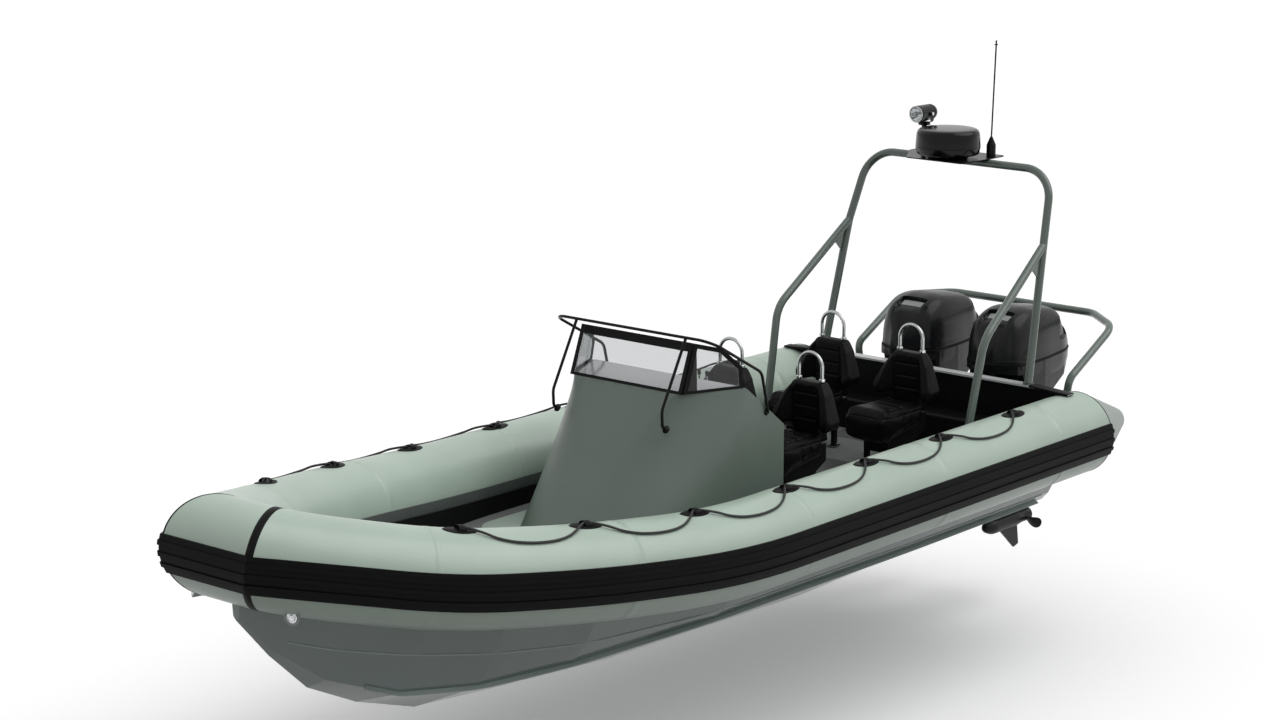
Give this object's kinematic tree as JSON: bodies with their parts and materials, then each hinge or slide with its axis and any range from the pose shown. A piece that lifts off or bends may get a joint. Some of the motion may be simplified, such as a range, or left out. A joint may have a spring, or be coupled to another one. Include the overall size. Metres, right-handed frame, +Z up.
{
  "type": "rigid inflatable boat",
  "caption": "Rigid-hulled inflatable boat with centre console, pod seats, light arch and tilting, steering twin outboards.",
  "frame": {"origin": "on the centreline, amidships, at the water's surface with the boat afloat and level", "axes": "+X forward towards the bow, +Y to port, +Z up"},
  "size_m": [8.53, 3.146, 3.9007],
  "materials": {
    "tube_fabric": "satin",
    "strake_rubber": "satin",
    "hull_gelcoat": "gloss",
    "deck_gelcoat": "gloss",
    "plinth_gelcoat": "gloss",
    "black_moulding": "matt",
    "cap_strip": "gloss",
    "seat_cover": "satin",
    "stainless": "brushed",
    "console_gelcoat": "satin",
    "tinted_glass": "gloss",
    "black_tube": "satin",
    "rope": "matt",
    "valve_metal": "polished",
    "arch_paint": "satin",
    "gear_black": "gloss",
    "lamp_metal": "polished",
    "bracket_paint": "satin",
    "cowl_paint": "gloss",
    "leg_paint": "satin",
    "propeller_metal": "polished"
  },
  "bodies": {
    "hull_body": {"hull": "hull_gelcoat", "deck": "deck_gelcoat", "tube_port": "tube_fabric", "tube_starboard": "tube_fabric", "tube_bow": "tube_fabric", "strake_port": "strake_rubber", "strake_starboard": "strake_rubber", "strake_bow": "strake_rubber", "side_liners": "black_moulding", "inner_bands": "strake_rubber", "transom": "hull_gelcoat", "bulkhead": "black_moulding", "bulkhead_cap": "cap_strip", "stern_locker": "black_moulding", "seat_bases": "black_moulding", "seat_cushions": "seat_cover", "seat_backs": "seat_cover", "seat_hoops": "stainless", "console_plinth": "plinth_gelcoat", "console": "console_gelcoat", "screen_frame": "black_moulding", "screen_glass": "tinted_glass", "screen_rail": "black_tube", "helm_column": "black_moulding", "throttle": "gear_black", "lifeline_port": "rope", "lifeline_starboard": "rope", "lifeline_patches": "strake_rubber", "valves": "valve_metal", "arch_hoop": "arch_paint", "arch_brace_port": "arch_paint", "arch_brace_starboard": "arch_paint", "arch_plate": "gear_black", "radome": "gear_black", "light_post": "black_tube", "antenna": "gear_black", "guard_rail": "arch_paint", "clamp_bracket_port": "bracket_paint", "clamp_bracket_starboard": "bracket_paint"},
    "helm_wheel": {"steering_wheel": "black_moulding"},
    "lamp": {"searchlight": "lamp_metal"},
    "tilt_frame_port": {"swivel_bracket_port": "bracket_paint"},
    "tilt_frame_starboard": {"swivel_bracket_starboard": "bracket_paint"},
    "engine_port": {"cowl_port": "cowl_paint", "leg_port": "leg_paint"},
    "engine_starboard": {"cowl_starboard": "cowl_paint", "leg_starboard": "leg_paint"},
    "screw_port": {"propeller_port": "propeller_metal"},
    "screw_starboard": {"propeller_starboard": "propeller_metal"}
  },
  "joints": [
    {"name": "steering_wheel_turn", "type": "hinge", "parent": "hull_body", "child": "helm_wheel", "pos_m": [-0.556, -0.312, 1.04178], "axis": [-0.613, 0, 0.7901], "range_deg": [-720, 720]},
    {"name": "searchlight_pan", "type": "hinge", "parent": "hull_body", "child": "lamp", "pos_m": [-3.715, -0.385, 2.6], "axis": [0, 0, 1], "range_deg": [-170, 170]},
    {"name": "tilt_port", "type": "hinge", "parent": "hull_body", "child": "tilt_frame_port", "pos_m": [-3.4, 0.395, 0.75], "axis": [0, 1, 0], "range_deg": [0, 60]},
    {"name": "steer_port", "type": "hinge", "parent": "tilt_frame_port", "child": "engine_port", "pos_m": [-3.52, 0.395, 0.5], "axis": [0, 0, 1], "range_deg": [-25, 25]},
    {"name": "propeller_port_spin", "type": "hinge", "parent": "engine_port", "child": "screw_port", "pos_m": [-4.029, 0.395, -0.413], "axis": [1, 0, 0], "continuous": true},
    {"name": "tilt_starboard", "type": "hinge", "parent": "hull_body", "child": "tilt_frame_starboard", "pos_m": [-3.4, -0.395, 0.75], "axis": [0, 1, 0], "range_deg": [0, 60]},
    {"name": "steer_starboard", "type": "hinge", "parent": "tilt_frame_starboard", "child": "engine_starboard", "pos_m": [-3.52, -0.395, 0.5], "axis": [0, 0, 1], "range_deg": [-25, 25]},
    {"name": "propeller_starboard_spin", "type": "hinge", "parent": "engine_starboard", "child": "screw_starboard", "pos_m": [-4.029, -0.395, -0.413], "axis": [1, 0, 0], "continuous": true}
  ],
  "couplings": [
    {"joint": "steer_starboard", "follows": "steer_port", "ratio": 1},
    {"joint": "steering_wheel_turn", "follows": "steer_port", "ratio": 28.8}
  ]
}
